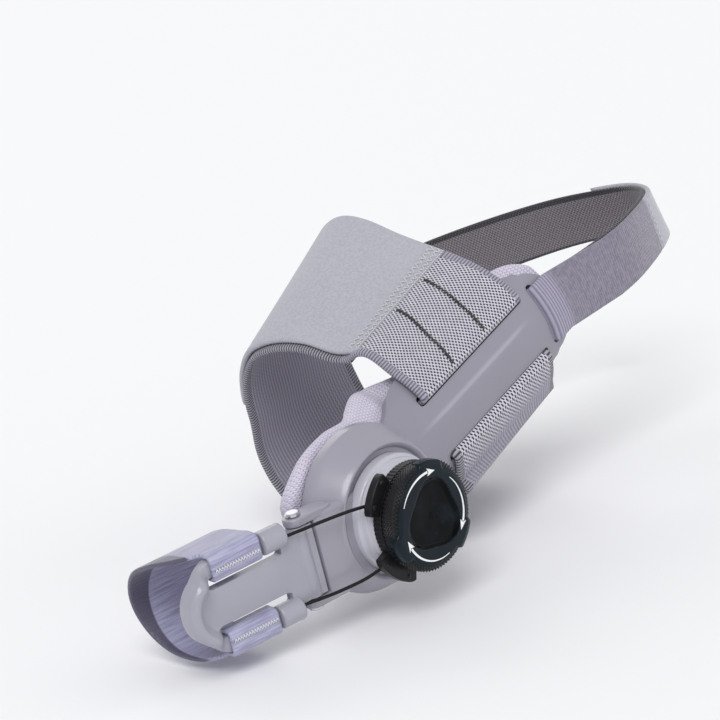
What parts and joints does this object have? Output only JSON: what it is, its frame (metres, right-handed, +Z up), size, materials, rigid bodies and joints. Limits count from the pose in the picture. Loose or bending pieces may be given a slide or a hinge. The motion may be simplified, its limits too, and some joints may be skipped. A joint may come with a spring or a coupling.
{
  "type": "bunion corrector",
  "caption": "Adjustable toe splint on a padded side plate, with a lace-tightening dial and straps round the toe, instep and heel.",
  "frame": {"origin": "on the dial's axis, on the pad's skin face, where the ball joint of a right foot's big toe sits", "axes": "+X towards the heel, -Y out of the inner side of the foot along the dial's axis, +Z up"},
  "size_m": [0.2458, 0.105, 0.0834],
  "materials": {
    "plate_plastic": "satin lilac-grey moulded plastic",
    "pedestal_plastic": "glossy lighter grey plastic",
    "dial_plastic": "matt black plastic",
    "dial_face_plastic": "glossy near-black plastic with pale printed arrows",
    "pin_steel": "plain steel",
    "pad_knit": "lilac knitted foam pad",
    "elastic": "black and white checked woven elastic",
    "tab_fabric": "smooth grey hook tab",
    "toe_webbing": "lilac satin webbing",
    "heel_elastic": "ribbed lilac-grey elastic",
    "heel_dark": "dark loop-faced band",
    "lace_cord": "black braided lace"
  },
  "bodies": {
    "brace": {"splint_plate": "plate_plastic", "plate_pad": "pad_knit", "hinge_pin": "pin_steel", "dial_pedestal": "pedestal_plastic", "dial_base": "dial_plastic", "lace_upper": "lace_cord", "lace_lower": "lace_cord", "strap_upper": "elastic", "strap_tab": "tab_fabric", "strap_lower": "elastic", "heel_strap_fold": "heel_elastic", "heel_strap_tab": "tab_fabric", "heel_strap_band": "heel_dark"},
    "toe": {"toe_splint": "plate_plastic", "toe_strap": "toe_webbing"},
    "spindle": {"dial_spindle": "pin_steel"},
    "dial": {"dial_grip": "dial_plastic", "dial_face": "dial_face_plastic"}
  },
  "joints": [
    {"name": "toe_hinge", "type": "hinge", "parent": "brace", "child": "toe", "pos_m": [-0.02744, -0.00942, -0.00436], "axis": [-0.1045, 0, 0.9945], "range_deg": [-15, 25], "deforming": ["lace_upper", "lace_lower"]},
    {"name": "dial_pull", "type": "slide", "parent": "brace", "child": "spindle", "axis": [0, -1, 0], "range_m": [0, 0.0025]},
    {"name": "dial_turn", "type": "hinge", "parent": "spindle", "child": "dial", "pos_m": [0, -0.027, 0], "axis": [0, -1, 0], "continuous": true}
  ]
}
